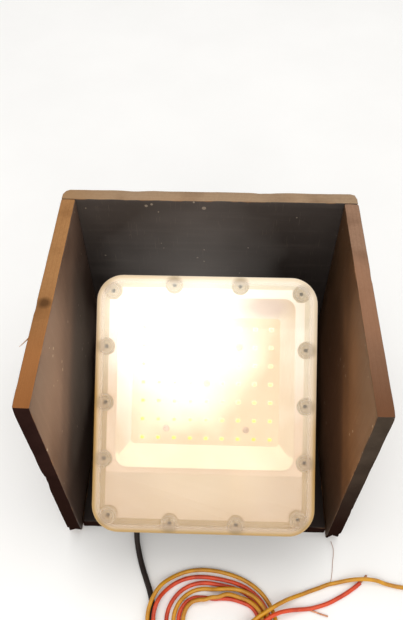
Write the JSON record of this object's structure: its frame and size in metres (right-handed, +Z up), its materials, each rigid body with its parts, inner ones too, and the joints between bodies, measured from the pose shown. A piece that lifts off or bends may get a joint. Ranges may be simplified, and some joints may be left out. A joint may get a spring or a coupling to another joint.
{
  "type": "floodlight",
  "caption": "LED floodlight with a translucent front lens, tilting on a bracket inside an open plywood hood, with coiled red and yellow supply wires.",
  "frame": {"origin": "on the surface that the hood stands on, under the middle of the box round hood and lamp, cords left out", "axes": "+Z up, +Y towards the hood's rear board, +X to the right as seen from the open front, along the tilt axis"},
  "size_m": [0.3418, 0.3513, 0.2313],
  "materials": {
    "plywood": "dark film-faced plywood with bare worn edges",
    "steel": "plated",
    "painted_steel": "matt grey paint",
    "lens": "translucent moulded plastic, lit from inside",
    "seal": "soft matt",
    "cast_housing": "painted aluminium casting",
    "black_plastic": "moulded",
    "brass": "bare",
    "pad": "soft silicone pad",
    "light_board": "white solder resist on aluminium, yellow chips",
    "white_plastic": "smooth white",
    "circuit_board": "green solder resist",
    "capacitor": "sleeved",
    "copper": "wound enamelled copper",
    "fuse": "clear tube",
    "terminal": "moulded",
    "black_cord": "smooth sheath",
    "red_wire": "smooth insulation",
    "yellow_wire": "smooth insulation",
    "tape": "wound insulating tape",
    "tie": "thin twist tie"
  },
  "bodies": {
    "hood": {"base_board": "plywood", "rear_board": "plywood", "left_side_board": "plywood", "right_side_board": "plywood", "u_bracket": "painted_steel", "bracket_screw_1": "steel", "bracket_screw_2": "steel", "black_lead": "black_cord", "splice_tape": "tape", "red_wire_coil": "red_wire", "yellow_wire_coil": "yellow_wire", "coil_tie": "tie", "red_wire_lead": "red_wire", "yellow_wire_lead": "yellow_wire"},
    "lamp": {"front_lens": "lens", "lens_gasket": "seal", "lens_screw_1": "steel", "lens_screw_2": "steel", "lens_screw_3": "steel", "lens_screw_4": "steel", "lens_screw_5": "steel", "lens_screw_6": "steel", "lens_screw_7": "steel", "lens_screw_8": "steel", "lens_screw_9": "steel", "lens_screw_10": "steel", "lens_screw_11": "steel", "lens_screw_12": "steel", "lens_screw_13": "steel", "lens_screw_14": "steel", "rear_housing": "cast_housing", "breather_vent": "black_plastic", "earth_screw": "brass", "thermal_pad": "pad", "light_board": "light_board", "light_board_screw_1": "steel", "light_board_screw_2": "steel", "light_board_screw_3": "steel", "light_board_screw_4": "steel", "light_board_screw_5": "steel", "reflector_tray": "white_plastic", "driver_cover": "white_plastic", "driver_board": "circuit_board", "driver_screw_1": "steel", "driver_screw_2": "steel", "driver_capacitor": "capacitor", "driver_choke": "copper", "driver_fuse": "fuse", "terminal_block": "terminal", "supply_wire": "black_cord", "light_wire": "red_wire", "gland_body": "black_plastic", "gland_locknut": "black_plastic", "gland_seal": "seal", "gland_nut": "black_plastic", "lead_tail": "black_cord", "tilt_bolt_1": "steel", "tilt_bolt_2": "steel", "spring_washer_1": "steel", "spring_washer_2": "steel"}
  },
  "joints": [
    {"name": "lamp_tilt", "type": "hinge", "parent": "hood", "child": "lamp", "pos_m": [0, -0.01042, 0.1062], "axis": [1, 0, 0], "range_deg": [-30, 30], "deforming": ["black_lead"]}
  ]
}
